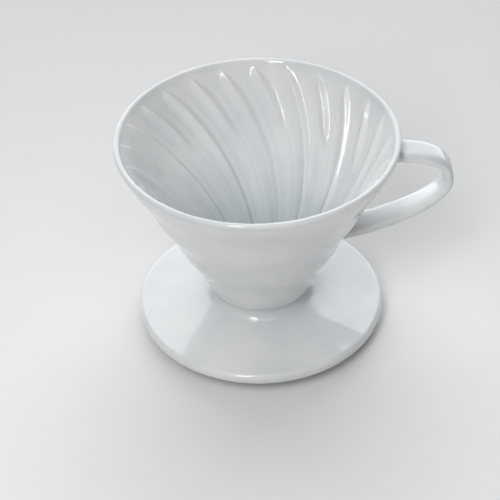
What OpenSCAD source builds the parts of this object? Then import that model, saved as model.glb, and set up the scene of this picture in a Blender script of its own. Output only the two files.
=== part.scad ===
// Pour-over coffee dripper in white glazed ceramic.
// A 60 degree cup with spiral ribs stands on a saucer base, and a strap handle is
// luted to its side. The frame's origin is on the axis, at the foot plane; the
// handle points along +X and the mouth of the cup opens along +Z.

/* [Cup] */
// Height from the foot plane to the top of the lip
total_h = 82; // [81:0.5:84]
// Outer diameter of the cup at the lip
rim_d = 100; // [98:0.5:102]
// Thickness of the rounded lip
lip_t = 2.2; // [2:0.1:2.6]
// Radius that the outside loses for each millimetre of depth
outer_slope = 0.508; // [0.500:0.002:0.512]
// Height of the soft waves on the outside, from mean to crest
wave_h = 0.3; // [0:0.05:0.4]
// Spacing of the soft waves
wave_pitch = 18; // [16:1:20]
// Rounding at the bottom edge of the cup
bead_r = 1.5; // [1:0.1:1.8]

/* [Ribs] */
// Number of long ribs, with one short rib between each two of them
long_ribs = 12; // [10:1:14]
// Height of a rib near the lip
rib_h_top = 1.8; // [1:0.1:2.2]
// Height of a long rib near the outlet
rib_h_low = 1.2; // [0.6:0.1:1.4]
// Width of a rib's steep flank, as an angle about the axis
rib_steep = 3.2; // [2.8:0.1:4]
// Width of a rib's gentle flank, as an angle about the axis
rib_gentle = 7.6; // [6:0.1:8.4]
// Depth below the lip at which the short ribs have faded out
short_rib_depth = 22; // [16:1:28]
// Direction of the first long rib where it starts at the lip
rib_phase = 16.5; // [0:0.5:30]

/* [Outlet] */
// Diameter of the outlet bore
outlet_d = 19.5; // [19:0.1:20]
// Outer diameter of the spout that plugs into the base
spout_d = 28; // [27:0.5:29]
// Height of the spout's lower end above the foot plane
spout_z = 9; // [8.5:0.1:9.5]

/* [Base] */
// Diameter of the flange
flange_d = 90; // [86:1:94]
// Height of the flange's flat underside, which is also the locating ring's height
flange_z = 5.6; // [5:0.1:6]
// Thickness of the flange at its rounded edge
flange_t = 4.4; // [4:0.1:5]
// Slope of the flange's top, in degrees, falling towards the edge
flange_fall = 8.5; // [6:0.5:10]
// Radius of the concave sweep from the neck to the flange
sweep_r = 3; // [2.5:0.25:4]
// Outer diameter of the locating ring
ring_d = 60; // [58:1:62]
// Wall thickness of the locating ring
ring_t = 3.8; // [3.4:0.1:4.4]
// Number of vent notches in the locating ring
vents = 3; // [2:1:4]
// Width of a vent notch
vent_w = 8; // [6:0.5:10]

/* [Handle] */
// Distance from the cup's axis to the outside of the handle
handle_reach = 69; // [67:0.5:70]
// Height of the handle's upper end
handle_top_z = 74.3; // [73:0.1:75]
// Height of the handle's outermost point
handle_bend_z = 63; // [62:0.5:64]
// Height of the handle's lower end, at the middle of the cup's wall
handle_low_z = 39.9; // [39:0.1:41]
// Width of the strap at its two ends
strap_w = 11; // [10:0.1:12]
// Width of the strap at the bend
strap_w_bend = 10; // [9:0.1:11]
// Thickness of the strap at its two ends
strap_t = 4.4; // [4:0.1:4.8]
// Thickness of the strap at the bend
strap_t_bend = 3.6; // [3.2:0.1:4]

/* [Joints] */
// Thickness of the layer of slip between the cup and the base
slip_t = 0.5; // [0.3:0.1:0.8]
// Spread of the fillet of slip around each end of the handle
fillet_w = 1.6; // [1:0.1:2]

/* [Hidden] */
glaze = [0.93, 0.94, 0.95];
slip = [0.88, 0.89, 0.90];
$fn = 96;

// Cup: everything below is measured down from the centre of the rounded lip
lip_r = lip_t / 2;
lip_z = total_h - lip_r;
lip_centre_r = rim_d / 2 - lip_r;
cone_half_angle = 30;
wall_start_r = lip_centre_r - lip_r / cos(cone_half_angle);
first_wave_depth = 6.5;
seat_z = 18.4;
bead_top_z = seat_z + bead_r;
wall_step = 1.5;
recess_depth = 1.6;
bore_overlap = 1.5;

function depth(z) = lip_z - z;
function outer_r(d) = rim_d / 2 + 0.3 - outer_slope * d
    + wave_h * cos(360 * (d - first_wave_depth) / wave_pitch);
function inner_r(d) = wall_start_r - d * tan(cone_half_angle);
function arc(cx, cz, r, from, to, steps) =
    [for (k = [0:steps]) let (a = from + (to - from) * k / steps) [cx + r * cos(a), cz + r * sin(a)]];
function smooth(x) = let (t = min(max(x, 0), 1)) t * t * (3 - 2 * t);

bead_r_out = outer_r(depth(bead_top_z));
bead_centre_r = bead_r_out - bead_r;
spout_r = spout_d / 2;
spout_chamfer = 1;
wall_depth = depth(bead_top_z);
wall_bands = round(wall_depth / wall_step);

// Outline of the cup before it is hollowed, with the exact lip and its first
// stretch of inner wall
module cup_blank() {
    rotate_extrude()
        polygon(concat(
            [[0, spout_z], [spout_r - spout_chamfer, spout_z],
             [spout_r, spout_z + spout_chamfer], [spout_r, seat_z]],
            arc(bead_centre_r, bead_top_z, bead_r, -90, 0, 8),
            [for (k = [1:wall_bands - 1])
                let (d = wall_depth * (1 - k / wall_bands)) [outer_r(d), lip_z - d]],
            arc(lip_centre_r, lip_z, lip_r, 0, 180 - cone_half_angle, 12),
            [[inner_r(recess_depth), lip_z - recess_depth], [0, lip_z - recess_depth]]
        ));
}

// Ribs: a rib starts at the lip and turns clockwise, seen from above, on its way down
rib_count = 2 * long_ribs;
rib_pitch = 360 / rib_count;
rib_tip = 0.3;
rib_start_depth = 0.5;
rib_places = [-1, -0.5, 0, 0.25, 0.6, 1];
ring_size = rib_count * len(rib_places);
outlet_depth = (wall_start_r - outlet_d / 2) / tan(cone_half_angle);
cavity_depths = [2.5, 3.5, 5, 8, 13, 17, 19.5, 22, 26, 33, 41, 49, 56, 62, outlet_depth + 1];

function turn(d) = -(0.86 * d - 0.0028 * d * d);
function rib_height(d, long) =
    (rib_h_top + (rib_h_low - rib_h_top) * d / outlet_depth)
    * smooth((d - rib_start_depth) / 4)
    * (long ? 1 - 0.6 * smooth((d - outlet_depth + 8) / 8) : 1 - smooth((d - short_rib_depth + 7) / 7));
// A rib starts as a narrow tip. Its place runs from -1 to 0 up the steep flank and on
// to 1 down the gentle one.
function rib_spread(d) = rib_tip + (1 - rib_tip) * smooth((d - rib_start_depth) / 7);
function rib_offset(u, d) = u * (u < 0 ? rib_steep : rib_gentle) * rib_spread(d);
function rib_shape(u) = 1 - smooth(pow(abs(u), u < 0 ? 0.95 : 0.72));

function cavity_ring(d, grow, ribbed) =
    [for (k = [0:rib_count - 1], u = rib_places)
        let (a = rib_phase + k * rib_pitch + rib_offset(u, d) + turn(d),
             h = ribbed ? rib_height(d, k % 2 == 0) * rib_shape(u) : 0,
             r = inner_r(d) + grow - h)
        [r * cos(a), r * sin(a), lip_z - d]];

// A closed solid through rings of equal length, the first ring lowest or outermost
module skin(rings) {
    size = len(rings[0]);
    last = len(rings) - 1;
    polyhedron(
        points = [for (ring = rings) each ring],
        faces = concat(
            [[for (j = [0:size - 1]) j]],
            [[for (j = [0:size - 1]) last * size + size - 1 - j]],
            [for (k = [0:last - 1], j = [0:size - 1])
                let (a = k * size + j, b = k * size + (j + 1) % size)
                each [[b, a, a + size], [b, a + size, b + size]]]
        ));
}

module cavity() {
    above = -1;
    groove = 0.12;
    inset = -2.2;
    skin(concat(
        [for (k = [len(cavity_depths) - 1:-1:0]) cavity_ring(cavity_depths[k], 0, true)],
        [cavity_ring(recess_depth, groove, false), cavity_ring(above, inset, false)]));
}

module cone_body() {
    color(glaze)
    difference() {
        cup_blank();
        cavity();
        translate([0, 0, spout_z - 1])
            cylinder(d = outlet_d, h = depth(spout_z - 1) - outlet_depth + bore_overlap);
    }
}

// Base: a neck that sweeps out into a sloping flange, over a locating ring
edge_r = 1.8;
neck_top_z = seat_z - slip_t;
flange_r = flange_d / 2;
ring_r = ring_d / 2;
foot_r = 0.5;
ring_fillet_r = 1.5;
ceiling_edge_z = 9.2;
ceiling_z = 13.2;
vent_h = 3.2;
slope_z = flange_z + flange_t;
slope_start_r = flange_r - edge_r;
sweep_cx = bead_centre_r + sweep_r;
sweep_cz = slope_z + (slope_start_r - sweep_cx) * tan(flange_fall) + sweep_r / cos(flange_fall);
sweep_from = 180 + asin(max(0, sweep_cz - neck_top_z) / sweep_r);

module base_profile() {
    polygon(concat(
        [[spout_r, neck_top_z], [bead_centre_r, neck_top_z]],
        arc(sweep_cx, sweep_cz, sweep_r, sweep_from, 270 - flange_fall, 16),
        arc(slope_start_r, slope_z - edge_r, edge_r, 90 - flange_fall, 0, 8),
        arc(slope_start_r, flange_z + edge_r, edge_r, 0, -90, 8),
        arc(ring_r + ring_fillet_r, flange_z - ring_fillet_r, ring_fillet_r, 90, 180, 6),
        arc(ring_r - foot_r, foot_r, foot_r, 0, -90, 6),
        arc(ring_r - ring_t + foot_r, foot_r, foot_r, -90, -180, 6),
        [[ring_r - ring_t, ceiling_edge_z - 2], [ring_r - ring_t - 2, ceiling_edge_z],
         [spout_r + 3, ceiling_z], [spout_r, ceiling_z]]
    ));
}

module saucer_base() {
    color(glaze)
    difference() {
        rotate_extrude() base_profile();
        for (k = [0:vents - 1])
            rotate(k * 360 / vents)
                translate([ring_r - ring_t / 2, 0, 0])
                    cube([ring_t + 4, vent_w, 2 * vent_h], center = true);
    }
}

// A layer of slip between the cup's seat and the neck, with a concave fillet outside
// that runs from the bead down onto the neck
module neck_slip_joint() {
    wipe = 1.6;
    bead_end = -33.75;
    low = [bead_centre_r, neck_top_z - wipe];
    high = [bead_centre_r + bead_r * cos(bead_end), bead_top_z + bead_r * sin(bead_end)];
    bend_point = [bead_centre_r, high[1] + (high[0] - bead_centre_r) / tan(bead_end)];
    color(slip)
    rotate_extrude()
        polygon(concat(
            [[spout_r, neck_top_z], [bead_centre_r, neck_top_z]],
            [for (k = [0:6]) let (t = k / 6)
                pow(1 - t, 2) * low + 2 * (1 - t) * t * bend_point + t * t * high],
            arc(bead_centre_r, bead_top_z, bead_r, bead_end - 11.25, -90, 4),
            [[spout_r, seat_z]]
        ));
}

// Handle: a strap that leaves the wall level, rounds the bend and comes back
// to the middle of the wall. The path runs from 0 at the top to 2 at the bottom.
top_inset = 3.3;
low_inset = 2.3;
top_pull = 15.4;
bend_pull_up = 9;
bend_pull_down = 9.4;
low_pull = 16.5;
low_rise = 11;
top_end = [outer_r(depth(handle_top_z)) - top_inset, handle_top_z];
bend = [handle_reach - strap_t_bend / 2, handle_bend_z];
low_end = [outer_r(depth(handle_low_z)) - low_inset, handle_low_z];
upper_path = [top_end, top_end + [top_pull, 0], bend + [0, bend_pull_up], bend];
lower_path = [bend, bend - [0, bend_pull_down],
              low_end + low_pull * [cos(low_rise), sin(low_rise)], low_end];

function bezier(p, t) = pow(1 - t, 3) * p[0] + 3 * pow(1 - t, 2) * t * p[1]
    + 3 * (1 - t) * t * t * p[2] + pow(t, 3) * p[3];
function bezier_slope(p, t) = 3 * (pow(1 - t, 2) * (p[1] - p[0])
    + 2 * (1 - t) * t * (p[2] - p[1]) + t * t * (p[3] - p[2]));
function path(t) = t < 1 ? bezier(upper_path, t) : bezier(lower_path, t - 1);
function path_normal(t) =
    let (s = t < 1 ? bezier_slope(upper_path, t) : bezier_slope(lower_path, t - 1))
    [-s[1], s[0]] / norm(s);
function at_bend(t) = pow(sin(90 * t), 2);
function side(x) = x < 0 ? -1 : 1;

strap_points = 24;
corner = 0.42;
fillet_reach = 2.4;
skin_t = 0.1;

// Path values of the strap's sections, close together near the two ends
end_steps = 12;
end_step = 0.02;
bend_steps = 26;
end_span = end_steps * end_step;
upper_steps = [for (k = [0:end_steps]) k * end_step];
lower_steps = [for (k = [0:end_steps]) 2 - end_span + k * end_step];
middle_steps = [for (k = [1:bend_steps - 1]) end_span + (2 - 2 * end_span) * k / bend_steps];

// How far a point lies outside the cup
function gap(x, y, z) = max(0, norm([x, y]) - outer_r(depth(z)));
function fillet(gap, spread) = skin_t + spread * pow(1 - min(gap / fillet_reach, 1), 2);

// One section of the strap. A spread above 0 flares it out where it nears the cup.
function strap_ring(t, spread = 0) =
    let (w = strap_w + (strap_w_bend - strap_w) * at_bend(t),
         h = strap_t + (strap_t_bend - strap_t) * at_bend(t),
         rc = corner * h, p = path(t), n = path_normal(t))
    [for (k = [0:strap_points - 1])
        let (a = (k + 0.5) * 360 / strap_points,
             across = side(cos(a)) * (w / 2 - rc) + rc * cos(a),
             out = side(sin(a)) * (h / 2 - rc) + rc * sin(a),
             near = gap(p[0] + n[0] * out, across, p[1] + n[1] * out),
             grow = spread > 0 ? fillet(near, spread) : 0,
             rise = out + grow * sin(a))
        [p[0] + n[0] * rise, across + grow * cos(a), p[1] + n[1] * rise]];

// The whole strap, with both ends still inside the cup's wall
module strap() {
    skin([for (t = concat(upper_steps, middle_steps, lower_steps)) strap_ring(t)]);
}

module handle() {
    color(glaze)
    difference() {
        strap();
        cup_blank();
    }
}

// The space within the fillet's reach of the cup
module near_cup() {
    low = 34;
    high = 80;
    rotate_extrude()
        polygon([[0, low], [outer_r(depth(low)) + fillet_reach, low],
                 [outer_r(depth(high)) + fillet_reach, high], [0, high]]);
}

// A concave fillet of slip around one end of the strap
module handle_fillet(steps) {
    color(slip)
    difference() {
        intersection() {
            skin([for (t = steps) strap_ring(t, fillet_w)]);
            near_cup();
        }
        strap();
        cup_blank();
    }
}

module upper_handle_slip_joint() {
    handle_fillet(upper_steps);
}

module lower_handle_slip_joint() {
    handle_fillet(lower_steps);
}

cone_body();
saucer_base();
handle();
neck_slip_joint();
upper_handle_slip_joint();
lower_handle_slip_joint();
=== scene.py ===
"""Looks of the ceramic pour-over dripper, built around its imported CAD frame.

The shape functions work in millimetres, and mesh_object() turns their points into metres.
They follow the CAD: the same lip, 60 degree wall, ribs, flange and handle path, at a
resolution that lets a gloss glaze reflect cleanly. Depths are measured down from the
middle of the rounded lip, angles about the axis from the handle.
"""

import math

import bpy
import numpy as np
from mathutils import Matrix, Vector


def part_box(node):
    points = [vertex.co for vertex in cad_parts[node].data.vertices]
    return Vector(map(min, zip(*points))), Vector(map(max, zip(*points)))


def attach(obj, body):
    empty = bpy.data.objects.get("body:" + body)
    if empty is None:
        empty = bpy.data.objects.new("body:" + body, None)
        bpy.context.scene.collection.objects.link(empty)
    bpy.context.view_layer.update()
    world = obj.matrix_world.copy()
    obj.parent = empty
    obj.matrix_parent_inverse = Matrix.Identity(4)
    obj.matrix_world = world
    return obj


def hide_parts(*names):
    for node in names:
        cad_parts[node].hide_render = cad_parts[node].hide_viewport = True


MM = 0.001
CREASE = math.radians(65)

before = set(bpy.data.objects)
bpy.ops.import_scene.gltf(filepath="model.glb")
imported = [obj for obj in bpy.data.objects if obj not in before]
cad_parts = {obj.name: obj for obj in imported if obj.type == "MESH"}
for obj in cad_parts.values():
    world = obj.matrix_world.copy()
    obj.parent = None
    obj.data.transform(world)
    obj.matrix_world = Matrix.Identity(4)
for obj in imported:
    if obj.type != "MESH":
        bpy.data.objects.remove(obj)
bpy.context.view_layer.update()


# ---------------------------------------------------------------- sizes, from the frame

def box_mm(node):
    low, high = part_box(node)
    return np.array(low) / MM, np.array(high) / MM


cup_low, cup_high = box_mm("cone_body")
base_low, base_high = box_mm("saucer_base")
handle_low, handle_high = box_mm("handle")

# Cup
LIP_R = 1.1
LIP_Z = cup_high[2] - LIP_R
LIP_CENTRE_R = cup_high[1] - LIP_R
LIP_OUTER_END = -23
CONE_HALF_ANGLE = 30
CONE_TAN = math.tan(math.radians(CONE_HALF_ANGLE))
WALL_START_R = LIP_CENTRE_R - LIP_R / math.cos(math.radians(CONE_HALF_ANGLE))
OUTER_SLOPE = 0.508
WAVE_H, WAVE_PITCH, FIRST_WAVE = 0.3, 18.0, 6.5
WANDER_FADE = 8.0
SEAT_Z, BEAD_R = 18.4, 1.5
BEAD_TOP_Z = SEAT_Z + BEAD_R
OUTLET_R, SPOUT_R, SPOUT_LIP_R = 9.75, 14.0, 1.0
SPOUT_Z = cup_low[2]
OUTLET_DEPTH = (WALL_START_R - OUTLET_R) / CONE_TAN

# Ribs
RIB_COUNT = 24
RIB_PITCH = 360 / RIB_COUNT
RIB_PHASE = 16.5
RIB_H_TOP, RIB_H_LOW = 1.8, 1.2
RIB_STEEP, RIB_GENTLE = 3.2, 7.6
RIB_TURN, RIB_TURN_EASE = 0.86, 0.0028
RIB_START, RIB_RISE, RIB_TIP, RIB_WIDEN = 0.5, 4.0, 0.3, 7.0
LONG_RIB_END, LONG_RIB_KEEP = 8.0, 0.4
SHORT_RIB_DEPTH, SHORT_RIB_END = 24.0, 9.0
STEEP_COLUMNS, GENTLE_COLUMNS, GAP_COLUMNS = 7, 10, 2
INSIDE_ROWS, INSIDE_LIP_ROWS, EVEN_OUT_ROWS = 72, 25, 30

# Base
NECK_TOP_Z = SEAT_Z - 0.5
SLIP_WIPE, SLIP_BEAD_END = 1.6, -33.75
FLANGE_R = base_high[0]
FLANGE_Z, FLANGE_T, EDGE_R = 5.6, 4.4, 1.8
FLANGE_FALL = 8.5
SWEEP_R = 3.0
RING_R, RING_T, FOOT_R, RING_FILLET_R = 30.0, 3.8, 0.5, 1.5
CEILING_EDGE_Z, CEILING_Z = 9.2, 13.2
VENTS, VENT_W, VENT_H, VENT_EDGE = 3, 8.0, 3.2, 1.2
BARE_H = 0.3

# Handle
TOP_Z, BEND_Z, LOW_Z = 74.3, 63.0, 39.9
TOP_INSET, LOW_INSET = 3.3, 2.3
TOP_PULL, BEND_PULL_UP, BEND_PULL_DOWN, LOW_PULL = 15.4, 9.0, 9.4, 16.5
LOW_RISE = math.radians(11)
STRAP_W, STRAP_W_BEND, STRAP_T, STRAP_T_BEND = 11.0, 10.0, 4.4, 3.6
STRAP_SHAPE = 3.2
UPPER_END, LOWER_END = (0.0, 0.5), (2.0, 1.5)
FILLET_R = 2.0
EMBED = 0.05
SKIN = 0.02

# Columns round the base, the neck slip, the strap and its fillets, and rings along the strap
BASE_COLUMNS, NECK_COLUMNS = 384, 256
STRAP_RINGS, STRAP_COLUMNS, FILLET_COLUMNS = 160, 56, 72

# How far each surface turns to the darker glaze tone, from 0 to 1: where the glaze lies thick, and
# painted shade deep in the cone, in creases and joints, along the lip and on the strap's outer face
OUTLET_SHADE_AND_POOL, SHADE_START_DEPTH, SPOUT_SHADE = 0.85, 18.0, 0.5
RIB_FOOT_POOL_AND_SHADE, LIP_SHADE, LIP_SHADE_DEPTH = 0.12, 0.14, 2.5
POOL_WALL, BEAD_POOL_AND_SHADE, SHADE_FADE = 0.04, 0.15, 3.0
POOL_FLANGE, NECK_SHADE, NECK_SLIP_SHADE = 0.1, 0.12, 0.25
NECK_SHADE_R, NECK_SHADE_W = 19.0, 7.0
STRAP_OUTER_SHADE, STRAP_ROOT_SHADE, STRAP_SLIP_SHADE = 0.3, 0.7, 0.45


# ---------------------------------------------------------------- outlines

def smooth(x):
    t = np.clip(x, 0.0, 1.0)
    return t * t * (3 - 2 * t)


def arc(cx, cz, r, start, end, steps):
    a = np.radians(np.linspace(start, end, steps + 1))
    return np.stack([cx + r * np.cos(a), cz + r * np.sin(a)], 1)


def line(p, q, steps):
    t = np.linspace(0, 1, steps + 1)[:, None]
    return np.array(p) * (1 - t) + np.array(q) * t


def bezier(points, t):
    """A quadratic or cubic Bezier curve through its end points, at each value in t."""
    points = [np.asarray(p, dtype=float) for p in points]
    t = np.asarray(t, dtype=float)[..., None]
    while len(points) > 1:
        points = [a * (1 - t) + b * t for a, b in zip(points, points[1:])]
    return points[0]


def outline_of(*stretches):
    """Stretches of outline joined end to end, without points that repeat the one before."""
    points = np.vstack(stretches)
    step = np.linalg.norm(points - np.roll(points, 1, axis=0), axis=1)
    return points[step > 1e-6]


# ---------------------------------------------------------------- mesh building

def mesh_object(name, points_mm, faces, pool_and_shade=0.0, bare=0.0):
    """A smooth closed piece, with a mask of thick glaze and painted shade, and one of bare clay where
    there is no glaze.
    """
    points = np.asarray(points_mm, dtype=float).reshape(-1, 3)
    mesh = bpy.data.meshes.new(name)
    mesh.from_pydata((points * MM).tolist(), [], faces)
    for mask, values in (("pool_and_shade", pool_and_shade), ("bare", bare)):
        layer = mesh.attributes.new(mask, "FLOAT", "POINT")
        spread = np.broadcast_to(np.asarray(values, dtype=np.float32).ravel(), (len(points),))
        layer.data.foreach_set("value", np.ascontiguousarray(spread))
    mesh.shade_smooth()
    mesh.set_sharp_from_angle(angle=CREASE)
    if signed_volume(mesh, points) < 0:
        mesh.flip_normals()
    piece = bpy.data.objects.new(name, mesh)
    bpy.context.scene.collection.objects.link(piece)
    return piece


def signed_volume(mesh, points):
    mesh.calc_loop_triangles()
    corners = np.empty(len(mesh.loop_triangles) * 3, dtype=np.int32)
    mesh.loop_triangles.foreach_get("vertices", corners)
    a, b, c = (points[corners[k::3]] for k in range(3))
    return float(np.einsum("ij,ij->i", a, np.cross(b, c)).sum())


def grid_faces(rows, columns, closed):
    """Quads over rows of points whose columns run round, and whose rows do too if closed."""
    faces = []
    for i in range(rows if closed else rows - 1):
        below = i * columns
        above = (i + 1) % rows * columns
        for j in range(columns):
            k = (j + 1) % columns
            faces.append((below + j, below + k, above + k, above + j))
    return faces


def unit(vectors):
    return vectors / np.linalg.norm(vectors, axis=-1)[..., None]


def revolve(radius, angle, height):
    """Points at a radius, an angle and a height, all of one shape."""
    radius, angle, height = np.broadcast_arrays(radius, angle, height)
    return np.stack([radius * np.cos(angle), radius * np.sin(angle), height], -1)


def stand_for(piece, node):
    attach(piece, "root")
    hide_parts(node)
    return piece


# ---------------------------------------------------------------- cup

def outer_r(d):
    """Radius of the waved outer wall at a depth."""
    return (LIP_CENTRE_R + LIP_R + WAVE_H - OUTER_SLOPE * d
            + WAVE_H * np.cos(2 * np.pi * (d - FIRST_WAVE) / WAVE_PITCH))


def inner_r(d):
    return WALL_START_R - d * CONE_TAN


BEAD_CENTRE_R = outer_r(LIP_Z - BEAD_TOP_Z) - BEAD_R


def cast_wander(angle, z):
    """The slow wander of a cast surface, a few hundredths of a millimetre."""
    return (0.035 * np.sin(2 * angle + 0.05 * z + 0.7) + 0.025 * np.sin(3 * angle - 0.11 * z + 2.1)
            + 0.02 * np.sin(5 * angle + 0.17 * z))


def wall_r(angle, z):
    """Radius of the cup's outer wall, still where it meets the lip and the seat."""
    keep = smooth((LIP_Z - z) / WANDER_FADE) * smooth((z - BEAD_TOP_Z) / WANDER_FADE)
    return outer_r(LIP_Z - z) + keep * cast_wander(angle, z)


def turn(d):
    """How far a rib has turned about the axis at a depth, in degrees."""
    return -(RIB_TURN * d - RIB_TURN_EASE * d * d)


def rib_spread(d):
    """Share of its full width that a rib has at a depth: it starts as a narrow tip."""
    return RIB_TIP + (1 - RIB_TIP) * smooth((d - RIB_START) / RIB_WIDEN)


def rib_height(d, is_long):
    """Height of a rib's crest at a depth. A long rib keeps part of its height at the outlet."""
    body = RIB_H_TOP + (RIB_H_LOW - RIB_H_TOP) * d / OUTLET_DEPTH
    start = smooth((d - RIB_START) / RIB_RISE)
    long_end = 1 - (1 - LONG_RIB_KEEP) * smooth((d - OUTLET_DEPTH) / LONG_RIB_END + 1)
    short_end = 1 - smooth((d - SHORT_RIB_DEPTH) / SHORT_RIB_END + 1)
    return body * start * np.where(is_long, long_end, short_end)


def rib_shape(place):
    """Height across a rib: a small round crest, and flanks that flatten towards the wall."""
    steep_power, gentle_power = 0.95, 0.72
    return 1 - smooth(np.abs(place) ** np.where(place < 0, steep_power, gentle_power))


def cup_columns():
    """For each column of the cup, which rib it belongs to and its place across the pitch.

    The place runs from -1 to 0 up the rib's steep flank, from 0 to 1 down its gentle flank,
    and from 1 to 2 over the gap to the next rib. The powers set columns closer at the crest.
    """
    steep = -np.linspace(1, 0, STEEP_COLUMNS + 1) ** 1.2
    gentle = np.linspace(0, 1, GENTLE_COLUMNS + 1)[1:] ** 1.3
    gap = np.linspace(1, 2, GAP_COLUMNS + 2)[1:-1]
    places = np.concatenate([steep, gentle, gap])
    return np.repeat(np.arange(RIB_COUNT), len(places)), np.tile(places, RIB_COUNT)


def column_angle(rib, place, spread):
    """Direction of each column in degrees, before the ribs' turn, for ribs of that spread."""
    steep, gentle = RIB_STEEP * spread, RIB_GENTLE * spread
    gap = RIB_PITCH - steep - gentle
    offset = np.where(place < 0, place * steep, np.minimum(place, 1) * gentle)
    return RIB_PHASE + rib * RIB_PITCH + offset + np.maximum(place - 1, 0) * gap


def cup_inside():
    """The inner wall from the outlet up to the lip, with rows closer where the ribs start."""
    ribs_start = 6
    depths = np.concatenate([np.linspace(OUTLET_DEPTH, ribs_start, INSIDE_ROWS),
                             np.linspace(ribs_start, -LIP_R / 2, INSIDE_LIP_ROWS + 1)[1:]])
    return np.stack([inner_r(depths), LIP_Z - depths], 1)


def cup_outside():
    """Over the lip, down the outer wall and round the bead to the seat."""
    start = -LIP_R * math.sin(math.radians(LIP_OUTER_END))
    below_lip = 3
    depths = np.concatenate([np.linspace(start, below_lip, 7)[1:],
                             np.linspace(below_lip, LIP_Z - BEAD_TOP_Z, 48)[1:]])
    lip_inner_end = 180 - CONE_HALF_ANGLE - 12
    return outline_of(
        arc(LIP_CENTRE_R, LIP_Z, LIP_R, lip_inner_end, LIP_OUTER_END, 15),
        np.stack([outer_r(depths), LIP_Z - depths], 1),
        arc(BEAD_CENTRE_R, BEAD_TOP_Z, BEAD_R, 0, -90, 9))


def cup_spout():
    """From the seat down the spout, round its lip and up the bore."""
    lip_z = SPOUT_Z + SPOUT_LIP_R
    return outline_of(
        line((BEAD_CENTRE_R - 1, SEAT_Z), (SPOUT_R, SEAT_Z), 2),
        line((SPOUT_R, SEAT_Z), (SPOUT_R, lip_z), 4),
        arc(SPOUT_R - SPOUT_LIP_R, lip_z, SPOUT_LIP_R, 0, -90, 4),
        arc(OUTLET_R + SPOUT_LIP_R, lip_z, SPOUT_LIP_R, -90, -180, 4),
        line((OUTLET_R, lip_z), (OUTLET_R, LIP_Z - OUTLET_DEPTH), 4)[:-1])


# Painted shade along the rounded lip, fading out over its first few millimetres.
def lip_shade(d):
    return LIP_SHADE * smooth(1 - d / LIP_SHADE_DEPTH)


def inside_pool_and_shade(d, place):
    """Painted shade deepening down to the outlet, where glaze also runs and pools, and a darker band
    along the feet of the ribs, partly glaze gathered there and partly painted shade.
    """
    foot_width, foot_start = 0.6, 6.0
    foot_of_rib = smooth(1 - np.abs(np.abs(place) - 1) / foot_width)
    deep = smooth((d - SHADE_START_DEPTH) / (OUTLET_DEPTH - SHADE_START_DEPTH))
    return OUTLET_SHADE_AND_POOL * deep + RIB_FOOT_POOL_AND_SHADE * foot_of_rib * smooth(d / foot_start) + lip_shade(d)


# A faint even glaze tint on the outer wall; darker towards the bead, partly glaze gathered there and
# partly painted shade in the crease; and painted shade along the lip.
def outside_pool_and_shade(z):
    return POOL_WALL + BEAD_POOL_AND_SHADE * smooth((BEAD_TOP_Z - z) / SHADE_FADE + 1) + lip_shade(LIP_Z - z)


def cup():
    """The shell, ring by ring: up the ribbed inside, down the outside, and up the spout.

    The columns turn with the ribs inside, stand upright outside, where they even out over
    the first rows, and lean back to the ribs' turn on the spout.
    """
    rib, place = cup_columns()
    is_long = rib % 2 == 0
    shape = rib_shape(np.clip(place, -1, 1))
    rings, pool_and_shade = [], []
    for r, z in cup_inside():
        d = LIP_Z - z
        across = column_angle(rib, place, rib_spread(d))
        height = rib_height(d, is_long) * shape
        rings.append(revolve(r - height, np.radians(across + turn(max(d, 0))), z))
        pool_and_shade.append(inside_pool_and_shade(d, place))
    for k, (r, z) in enumerate(cup_outside()):
        across = column_angle(rib, place, RIB_TIP + (1 - RIB_TIP) * smooth(k / EVEN_OUT_ROWS))
        angle = np.radians(across)
        wander = wall_r(angle, z) - outer_r(LIP_Z - z)
        rings.append(revolve(r + wander, angle, z))
        pool_and_shade.append(np.full(len(rib), outside_pool_and_shade(z)))
    spout = cup_spout()
    for k, (r, z) in enumerate(spout):
        lean = turn(OUTLET_DEPTH) * (k + 1) / len(spout)
        rings.append(revolve(r, np.radians(across + lean), z))
        # Painted shade over the spout, under the cup.
        pool_and_shade.append(np.full(len(rib), SPOUT_SHADE))
    faces = grid_faces(len(rings), len(rib), closed=True)
    piece = mesh_object("cup_shell", rings, faces, pool_and_shade=np.clip(pool_and_shade, 0, 1))
    return stand_for(piece, "cone_body")


# ---------------------------------------------------------------- base

def sweep_centre():
    x = BEAD_CENTRE_R + SWEEP_R
    fall = math.radians(FLANGE_FALL)
    edge = FLANGE_R - EDGE_R
    return x, FLANGE_Z + FLANGE_T + (edge - x) * math.tan(fall) + SWEEP_R / math.cos(fall)


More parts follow.
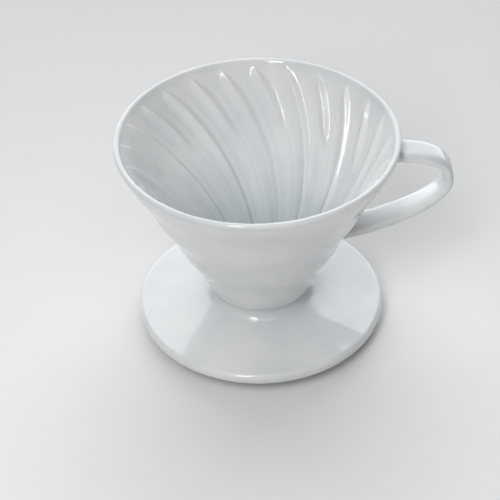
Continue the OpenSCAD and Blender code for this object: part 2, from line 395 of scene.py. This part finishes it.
def base_outline():
    edge_r = FLANGE_R - EDGE_R
    ring_in = RING_R - RING_T
    sweep = arc(*sweep_centre(), SWEEP_R, 180, 270 - FLANGE_FALL, 24)
    edge = arc(edge_r, FLANGE_Z + FLANGE_T - EDGE_R, EDGE_R, 90 - FLANGE_FALL, 0, 12)
    fillet = arc(RING_R + RING_FILLET_R, FLANGE_Z - RING_FILLET_R, RING_FILLET_R, 90, 180, 8)
    return outline_of(
        line((SPOUT_R, NECK_TOP_Z), (BEAD_CENTRE_R, NECK_TOP_Z), 4),
        line((BEAD_CENTRE_R, NECK_TOP_Z), sweep[0], 4),
        sweep,
        line(sweep[-1], edge[0], 22),
        edge,
        arc(edge_r, FLANGE_Z + EDGE_R, EDGE_R, 0, -90, 12),
        line((edge_r, FLANGE_Z), fillet[0], 12),
        fillet,
        line(fillet[-1], (RING_R, FOOT_R), 8),
        arc(RING_R - FOOT_R, FOOT_R, FOOT_R, 0, -90, 5),
        line((RING_R - FOOT_R, 0), (ring_in + FOOT_R, 0), 4),
        arc(ring_in + FOOT_R, FOOT_R, FOOT_R, -90, -180, 5),
        line((ring_in, FOOT_R), (ring_in, CEILING_EDGE_Z - 2), 12),
        arc(ring_in - 2, CEILING_EDGE_Z - 2, 2, 0, 90, 6),
        line((ring_in - 2, CEILING_EDGE_Z), (SPOUT_R + 3, CEILING_Z), 8),
        line((SPOUT_R + 3, CEILING_Z), (SPOUT_R, CEILING_Z), 3),
        line((SPOUT_R, CEILING_Z), (SPOUT_R, NECK_TOP_Z), 5)[:-1])


def vent_mask(angle):
    """1 inside a vent notch of the locating ring, 0 outside it."""
    mask = np.zeros(len(angle))
    for k in range(VENTS):
        from_centre = (angle - 2 * np.pi * k / VENTS + np.pi) % (2 * np.pi) - np.pi
        outside = RING_R * np.abs(from_centre) - VENT_W / 2
        mask = np.maximum(mask, 1 - smooth(outside / VENT_EDGE + 0.5))
    return mask


def base():
    angle = np.linspace(0, 2 * np.pi, BASE_COLUMNS, endpoint=False)
    vent = vent_mask(angle)
    rings, bare, pool_and_shade = [], [], []
    for r, z in base_outline():
        in_ring = RING_R - RING_T - SKIN < r < RING_R + SKIN and z < VENT_H
        on_top = z > FLANGE_Z + EDGE_R and r > BEAD_CENTRE_R
        height = z + (VENT_H - z) * vent if in_ring else z
        wander = cast_wander(angle, 3 * z) * smooth((r - BEAD_CENTRE_R) / 6) if on_top else 0
        rings.append(revolve(r + wander, angle, height))
        bare.append((1 - smooth(z / BARE_H - 1)) * (1 - vent) if in_ring else np.zeros(len(angle)))
        # An even glaze tint over the base, with painted shade on the flange's top round the neck, under
        # the cup.
        near_neck = 1 - smooth((r - NECK_SHADE_R) / NECK_SHADE_W) if on_top else 0
        pool_and_shade.append(np.full(len(angle), POOL_FLANGE + NECK_SHADE * near_neck))
    faces = grid_faces(len(rings), len(angle), closed=True)
    piece = mesh_object("base_flange", rings, faces, pool_and_shade=pool_and_shade, bare=bare)
    return stand_for(piece, "saucer_base")


def neck_slip():
    """The layer of slip between cup and neck, wiped to a small concave fillet outside."""
    neck = np.array([BEAD_CENTRE_R, NECK_TOP_Z - SLIP_WIPE])
    bead = arc(BEAD_CENTRE_R, BEAD_TOP_Z, BEAD_R, -90, SLIP_BEAD_END, 6)
    rise = (bead[-1][0] - neck[0]) / math.tan(math.radians(SLIP_BEAD_END))
    corner = (neck[0], bead[-1][1] + rise)
    outline = outline_of(
        line((SPOUT_R, NECK_TOP_Z), (neck[0], NECK_TOP_Z), 3),
        line((neck[0], NECK_TOP_Z), neck, 2),
        bezier([neck, corner, bead[-1]], np.linspace(0, 1, 13)),
        bead[::-1],
        line(bead[0], (SPOUT_R, SEAT_Z), 3),
        line((SPOUT_R, SEAT_Z), (SPOUT_R, NECK_TOP_Z), 2)[:-1])
    angle = np.linspace(0, 2 * np.pi, NECK_COLUMNS, endpoint=False)
    rings = [revolve(r, angle, z) for r, z in outline]
    faces = grid_faces(len(rings), len(angle), closed=True)
    # The fillet under the bead is darkened all round with painted shade.
    piece = mesh_object("neck_slip", rings, faces, pool_and_shade=NECK_SLIP_SHADE)
    return stand_for(piece, "neck_slip_joint")


# ---------------------------------------------------------------- handle

def strap_path(t):
    """Centre line of the strap, as radius and height, from 0 at its top to 2 at its foot."""
    top = np.array([outer_r(LIP_Z - TOP_Z) - TOP_INSET, TOP_Z])
    bend = np.array([handle_high[0] - STRAP_T_BEND / 2, BEND_Z])
    low = np.array([outer_r(LIP_Z - LOW_Z) - LOW_INSET, LOW_Z])
    level = np.array([math.cos(LOW_RISE), math.sin(LOW_RISE)])
    upper = [top, top + [TOP_PULL, 0], bend + [0, BEND_PULL_UP], bend]
    lower = [bend, bend - [0, BEND_PULL_DOWN], low + LOW_PULL * level, low]
    t = np.asarray(t, dtype=float)
    above, below = bezier(upper, np.clip(t, 0, 1)), bezier(lower, np.clip(t - 1, 0, 1))
    return np.where((t < 1)[..., None], above, below)


def path_slope(t):
    step = 1e-4
    low, high = np.maximum(t - step, 0), np.minimum(t + step, 2)
    return (strap_path(high) - strap_path(low)) / (high - low)[..., None]


def strap_section(place, w, h):
    """A soft-cornered section: crowned faces and round edges. place goes once round it."""
    a = 2 * np.pi * place
    c, s = np.cos(a), np.sin(a)
    scale = (np.abs(c) ** STRAP_SHAPE + np.abs(s) ** STRAP_SHAPE) ** (-1 / STRAP_SHAPE)
    return w / 2 * c * scale, h / 2 * s * scale


def strap_point(t, place):
    """The point of the strap's surface at a path value and a place round the section."""
    centre = strap_path(t)
    slope = path_slope(t)
    out = unit(np.stack([-slope[..., 1], slope[..., 0]], -1))
    bend = np.sin(np.pi / 2 * t) ** 2
    across, rise = strap_section(place, STRAP_W + (STRAP_W_BEND - STRAP_W) * bend,
                                 STRAP_T + (STRAP_T_BEND - STRAP_T) * bend)
    surface = centre + out * rise[..., None]
    return np.stack([surface[..., 0], across, surface[..., 1]], -1)


def section_places(count):
    """Places round the section, closest together on its round edges."""
    fine = np.linspace(0, 1, 4001)
    x, y = strap_section(fine, STRAP_W, STRAP_T)
    dx, dy = np.gradient(x), np.gradient(y)
    swing = np.abs(np.gradient(np.unwrap(np.arctan2(dy, dx)))) / (2 * np.pi)
    length = np.hypot(dx, dy) / np.hypot(dx, dy).sum()
    measure = np.cumsum(length + 1.5 * swing)
    measure = (measure - measure[0]) / (measure[-1] - measure[0])
    return np.interp(np.arange(count) / count, measure, fine)


def outside_cup(point):
    """How far a point lies outside the cup's wall, measured level."""
    angle = np.arctan2(point[..., 1], point[..., 0])
    return np.hypot(point[..., 0], point[..., 1]) - wall_r(angle, point[..., 2])


def contact(place, inner, outer, embed):
    """Path value where each line along the strap lies that deep in the cup's wall."""
    inner, outer = np.full(len(place), float(inner)), np.full(len(place), float(outer))
    for _ in range(40):
        middle = (inner + outer) / 2
        is_in = outside_cup(strap_point(middle, place)) < -embed
        inner, outer = np.where(is_in, middle, inner), np.where(is_in, outer, middle)
    return (inner + outer) / 2


def end_cap(start, count):
    """Strips across an end of the strap, between its upper and its lower face."""
    faces = []
    for j in range(count // 2):
        corners = (start + j, start + j + 1, start + count - j - 1, start + (count - j) % count)
        faces.append(tuple(dict.fromkeys(corners)))
    return faces


def handle():
    """The strap, from its contact with the cup's wall at the top to that at its foot."""
    place = section_places(STRAP_COLUMNS)
    first = contact(place, *UPPER_END, EMBED)
    last = contact(place, *LOWER_END, EMBED)
    rings = [strap_point(first * (1 - k) + last * k, place) for k in np.linspace(0, 1, STRAP_RINGS)]
    # Painted shade on the strap's outer face, and deeper painted shade where the strap meets the cup.
    outer_face_shade = STRAP_OUTER_SHADE * smooth(0.5 + np.sin(2 * np.pi * place))
    root = [STRAP_ROOT_SHADE * smooth(1 - outside_cup(ring) / SHADE_FADE) for ring in rings]
    pool_and_shade = [np.maximum(outer_face_shade, near_cup) for near_cup in root]
    count = len(place)
    faces = grid_faces(len(rings), count, closed=False)
    faces += [face[::-1] for face in end_cap(0, count)]
    faces += end_cap((len(rings) - 1) * count, count)
    piece = mesh_object("handle_strap", rings, faces, pool_and_shade=pool_and_shade)
    return stand_for(piece, "handle")


def wall_normal(point):
    step = 0.01
    slope = []
    for k in range(3):
        shift = np.eye(3)[k] * step
        slope.append(outside_cup(point + shift) - outside_cup(point - shift))
    return unit(np.stack(slope, -1))


def onto_wall(point, lift):
    """The point moved along the wall's normal until it lies that far outside it."""
    for _ in range(3):
        normal = wall_normal(point)
        level = np.hypot(normal[..., 0], normal[..., 1])
        point = point - normal * ((outside_cup(point) - lift / level) * level)[..., None]
    return point


def strap_middle(t):
    centre = strap_path(t)
    return np.stack([centre[..., 0], np.zeros(centre.shape[:-1]), centre[..., 1]], -1)


def handle_slip(name, node, inner, outer):
    """A concave fillet of slip round one end of the strap, tangent to strap and cup.

    inner and outer are path values with the end between them: in the cup, and clear of it.
    """
    place = section_places(FILLET_COLUMNS)
    t = contact(place, inner, outer, 0.0)
    speed = np.linalg.norm(path_slope(t), axis=-1)
    away = 1 if outer > inner else -1
    corner = strap_point(t, place)
    probe = 0.2
    along = unit(strap_point(t + away * probe / speed, place) - corner)
    beside = unit(strap_point(t, place + 1e-3) - strap_point(t, place - 1e-3))
    outward = unit(np.cross(along, beside))
    outward *= np.sign(((corner - strap_middle(t)) * outward).sum(-1))[:, None]
    normal = wall_normal(corner)
    sideways = unit(outward - normal * (outward * normal).sum(-1)[:, None])
    half_angle = np.arccos((along * sideways).sum(-1)) / 2
    reach = FILLET_R / np.tan(half_angle)
    on_strap = strap_point(t + away * reach / speed, place) + outward * SKIN
    on_wall = onto_wall(corner + sideways * reach[:, None], SKIN)
    lifted = corner + (outward + normal) * SKIN
    rings = [bezier([on_strap, lifted, on_wall], np.full(len(place), k)) for k in np.linspace(0, 1, 13)]
    rings.append(onto_wall(corner + sideways * reach[:, None] / 2, -SKIN))
    rings.append(corner - outward * SKIN)
    rings.append(strap_point(t + away * reach / 2 / speed, place) - outward * SKIN)
    faces = grid_faces(len(rings), len(place), closed=True)
    # The fillet is darkened with painted shade where strap and cup meet.
    piece = mesh_object(name, rings, faces, pool_and_shade=STRAP_SLIP_SHADE)
    return stand_for(piece, node)


# ---------------------------------------------------------------- glaze

# The second tone is the cooler, darker one of thick glaze, also used as painted shade.
WHITE, POOL_AND_SHADE_TONE, IRON = (0.74, 0.75, 0.755, 1), (0.41, 0.47, 0.50, 1), (0.45, 0.41, 0.36, 1)
CLAY_PALE, CLAY_DARK = (0.80, 0.77, 0.71, 1), (0.72, 0.69, 0.63, 1)
CLOUD, SPECK, MATT, GRAIN, RELIEF = 0.15, 0.18, 0.7, 3.0, 0.02 * MM
GLAZE_IOR = 1.5
# Noise waves to the metre, and the range that nearly all of a noise's values lie in
CLOUD_SCALE, HAZE_SCALE, PEEL_SCALE, CLAY_SCALE, GRAIN_SCALE = 45.0, 120.0, 210.0, 900.0, 2400.0
NOISE_RANGE = (0.3, 0.7)


class Nodes:
    """A node tree, with the few ways of adding to it that the glaze and the studio need."""

    def __init__(self, tree):
        self.tree = tree
        self.coordinates = self.add("ShaderNodeTexCoord").outputs

    def add(self, kind, inputs=None, **settings):
        made = self.tree.nodes.new(kind)
        for key, value in settings.items():
            setattr(made, key, value)
        for key, value in (inputs or {}).items():
            self.feed(made.inputs[key], value)
        return made

    def feed(self, socket, value):
        if isinstance(value, bpy.types.NodeSocket):
            self.tree.links.new(value, socket)
        else:
            socket.default_value = value

    def mask(self, name):
        return self.add("ShaderNodeAttribute", attribute_name=name).outputs["Fac"]

    def noise(self, scale, detail):
        values = {"Vector": self.coordinates["Object"], "Scale": scale, "Detail": detail}
        return self.add("ShaderNodeTexNoise", values).outputs["Fac"]

    def math(self, operation, *values):
        return self.add("ShaderNodeMath", dict(enumerate(values)), operation=operation).outputs[0]

    def spread(self, value, low, high, to_low, to_high, interpolation="LINEAR"):
        values = {"Value": value, "From Min": low, "From Max": high, "To Min": to_low, "To Max": to_high}
        made = self.add("ShaderNodeMapRange", values, clamp=True, interpolation_type=interpolation)
        return made.outputs["Result"]

    def blend(self, factor, a, b):
        made = self.add("ShaderNodeMix", {0: factor, 6: a, 7: b}, data_type="RGBA")
        return made.outputs[2]


def specks(nodes):
    """Rare iron specks under the glaze, a third of a millimetre across."""
    per_metre, core, edge, rarity = 260.0, 0.04, 0.075, 0.80
    values = {"Vector": nodes.coordinates["Object"], "Scale": per_metre}
    cells = nodes.add("ShaderNodeTexVoronoi", values)
    near = nodes.spread(cells.outputs["Distance"], core, edge, 1.0, 0.0)
    rare = nodes.math("GREATER_THAN", cells.outputs["Color"], rarity)
    return nodes.math("MULTIPLY", near, rare)


def glaze_colour(nodes, pool_and_shade):
    """White body, cooler and darker where the glaze is thick and where shade is painted, slightly
    cloudy, with faint specks.
    """
    cloud = nodes.spread(nodes.noise(CLOUD_SCALE, 3.0), *NOISE_RANGE, -CLOUD, CLOUD)
    body = nodes.blend(nodes.math("ADD", pool_and_shade, cloud), WHITE, POOL_AND_SHADE_TONE)
    return nodes.blend(nodes.math("MULTIPLY", specks(nodes), SPECK), body, IRON)


def glaze(name, gloss):
    """Clear gloss glaze over white clay, with matt bare clay where the foot was wiped."""
    material = bpy.data.materials.new(name)
    material.use_nodes = True
    shader = material.node_tree.nodes["Principled BSDF"]
    nodes = Nodes(material.node_tree)
    pool_and_shade, bare = nodes.mask("pool_and_shade"), nodes.mask("bare")
    clay = nodes.blend(nodes.noise(CLAY_SCALE, 4.0), CLAY_PALE, CLAY_DARK)
    colour = nodes.blend(bare, glaze_colour(nodes, pool_and_shade), clay)
    nodes.feed(shader.inputs["Base Color"], colour)

    haze = nodes.spread(nodes.noise(HAZE_SCALE, 3.0), *NOISE_RANGE, gloss * 0.7, gloss * 1.3)
    matt = nodes.math("MULTIPLY", bare, MATT)
    nodes.feed(shader.inputs["Roughness"], nodes.math("ADD", haze, matt))
    shader.inputs["IOR"].default_value = GLAZE_IOR

    peel = nodes.noise(PEEL_SCALE, 1.0)
    bare_grain = nodes.math("MULTIPLY", nodes.noise(GRAIN_SCALE, 3.0), bare)
    relief = nodes.math("ADD", peel, nodes.math("MULTIPLY", bare_grain, GRAIN))
    bump = nodes.add("ShaderNodeBump", {"Strength": 0.4, "Distance": RELIEF, "Height": relief})
    nodes.feed(shader.inputs["Normal"], bump.outputs["Normal"])
    return material


# ---------------------------------------------------------------- stage

LENS, EYE_DISTANCE, EYE_ELEVATION, ROLL = 122.4, 590.65, math.radians(35.83), math.radians(-1.718)
AIM = (-3.53, 0, 30.95)
LIGHT_DISTANCE = 1.0
# Where the backdrop starts and where it is full, as the cosine of the angle off straight behind
FADE_START, FADE_END = 0.60, 0.84
FLOOR_SIZE, FLOOR_GREY = 6.0, (0.76, 0.76, 0.76, 1)


def camera():
    """The eye is in front of the cup and above it, and sees the lip 36 degrees from level."""
    level, above = EYE_DISTANCE * math.cos(EYE_ELEVATION), EYE_DISTANCE * math.sin(EYE_ELEVATION)
    eye = Vector((0, -level, LIP_Z + above)) * MM
    aim = Vector(AIM) * MM
    forward = (aim - eye).normalized()
    right = forward.cross(Vector((0, 0, 1))).normalized()
    up = right.cross(forward)
    across = right * math.cos(ROLL) + up * math.sin(ROLL)
    rise = up * math.cos(ROLL) - right * math.sin(ROLL)
    data = bpy.data.cameras.new("camera")
    data.lens, data.sensor_width = LENS, 36.0
    made = bpy.data.objects.new("camera", data)
    made.matrix_world = (Matrix.Translation(eye)
                         @ Matrix((across, rise, -forward)).transposed().to_4x4())
    bpy.context.scene.collection.objects.link(made)
    bpy.context.scene.camera = made


def softbox(name, azimuth, elevation, width, height, radiance):
    """An area light that faces the object. radiance is the brightness of its face."""
    a, e = math.radians(azimuth), math.radians(elevation)
    towards = Vector((math.cos(e) * math.cos(a), math.cos(e) * math.sin(a), math.sin(e)))
    data = bpy.data.lights.new(name, "AREA")
    data.shape, data.size, data.size_y = "RECTANGLE", width, height
    data.energy = radiance * math.pi * width * height
    made = bpy.data.objects.new(name, data)
    made.location = Vector((0, 0, LIP_Z / 2 * MM)) + towards * LIGHT_DISTANCE
    made.rotation_euler = towards.to_track_quat("Z", "Y").to_euler()
    made.visible_camera = False
    bpy.context.scene.collection.objects.link(made)


def floor():
    bpy.ops.mesh.primitive_plane_add(size=FLOOR_SIZE, location=(0, 0, 0))
    made = bpy.context.object
    made.name = "floor"
    material = bpy.data.materials.new("floor")
    material.use_nodes = True
    shader = material.node_tree.nodes["Principled BSDF"]
    shader.inputs["Base Color"].default_value = FLOOR_GREY
    shader.inputs["Roughness"].default_value = 0.9
    shader.inputs["Specular IOR Level"].default_value = 0.2
    made.data.materials.append(material)


def surround(room, backdrop, tint):
    """A dim room, with a bright backdrop behind the object that fades upwards and sideways.

    backdrop gives its brightness at a few heights, as the sine of the elevation.
    """
    world = bpy.data.worlds.new("studio")
    world.use_nodes = True
    nodes = Nodes(world.node_tree)
    direction = nodes.coordinates["Generated"]
    height = nodes.add("ShaderNodeSeparateXYZ", {0: direction}).outputs["Z"]
    ramp = nodes.add("ShaderNodeValToRGB", {"Fac": height})
    ramp.color_ramp.interpolation = "EASE"
    stops = ramp.color_ramp.elements
    while len(stops) < len(backdrop):
        stops.new(0.5)
    brightest = max(radiance for _, radiance in backdrop)
    for stop, (position, radiance) in zip(stops, backdrop):
        stop.position = position
        stop.color = (*[radiance / brightest] * 3, 1)
    full = nodes.math("MULTIPLY", ramp.outputs["Color"], brightest)

    flat = nodes.add("ShaderNodeVectorMath", {0: direction, 1: (1, 1, 0)}, operation="MULTIPLY")
    compass = nodes.add("ShaderNodeVectorMath", {0: flat.outputs[0]}, operation="NORMALIZE")
    behind = nodes.add("ShaderNodeSeparateXYZ", {0: compass.outputs[0]}).outputs["Y"]
    strength = nodes.spread(behind, FADE_START, FADE_END, room, full, "SMOOTHSTEP")
    background = world.node_tree.nodes["Background"]
    nodes.feed(background.inputs["Color"], (*tint, 1))
    nodes.feed(background.inputs["Strength"], strength)
    bpy.context.scene.world = world


camera()
floor()
surround(0.10, ((0.08, 3.0), (0.58, 1.8), (0.79, 2.9), (0.87, 0.2)), (0.96, 0.98, 1.0))
softbox("key", -108, 44, 0.18, 0.50, 12.5)
softbox("fill", -135, 36, 1.0, 0.8, 0.35)
softbox("high", -95, 60, 0.8, 0.5, 2.0)
softbox("overhead", 90, 72, 0.7, 0.5, 1.0)

glazed = glaze("white_glaze", 0.06)
slipped = glaze("joint_slip", 0.07)
for piece in (cup(), base(), handle()):
    piece.data.materials.append(glazed)
for piece in (neck_slip(),
              handle_slip("upper_slip_fillet", "upper_handle_slip_joint", *UPPER_END),
              handle_slip("lower_slip_fillet", "lower_handle_slip_joint", *LOWER_END)):
    piece.data.materials.append(slipped)
bpy.context.scene.view_settings.view_transform = "Standard"
